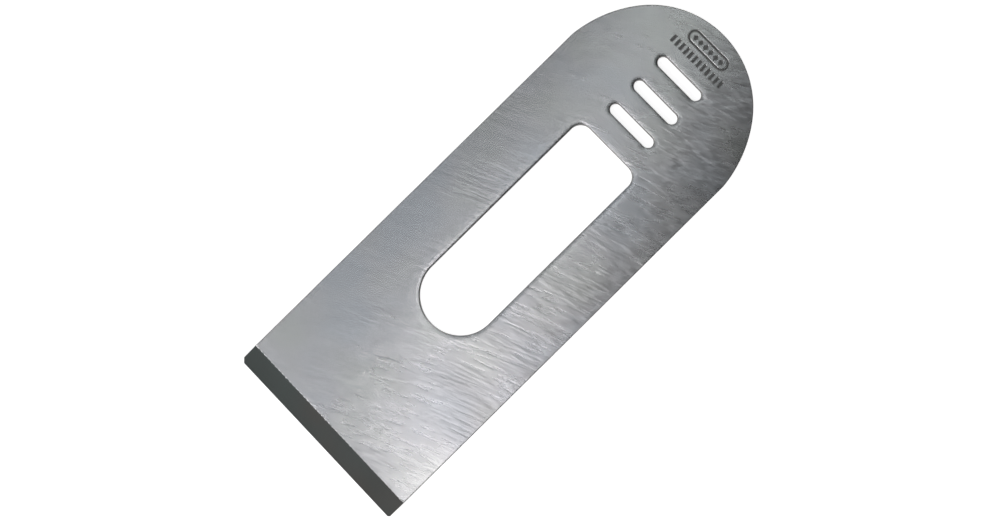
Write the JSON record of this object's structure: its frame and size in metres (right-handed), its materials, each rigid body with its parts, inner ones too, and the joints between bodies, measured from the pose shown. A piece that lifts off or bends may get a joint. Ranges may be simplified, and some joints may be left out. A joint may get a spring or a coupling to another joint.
{
  "type": "plane iron",
  "caption": "Flat steel block-plane iron with a single ground bevel, a long central screw slot, short adjuster cross slots and a rounded end.",
  "frame": {"origin": "middle of the plan box, on the flat bed face that lies on the plane's bed", "axes": "+Z out of the bevelled and marked face, +Y along the blade from the cutting edge to the rounded end, +X across the width"},
  "size_m": [0.0412, 0.1108, 0.0019],
  "materials": {
    "ground_steel": "linished and hardened tool steel, ground bevel"
  },
  "bodies": {
    "root": {"plane_iron": "ground_steel"}
  },
  "joints": []
}
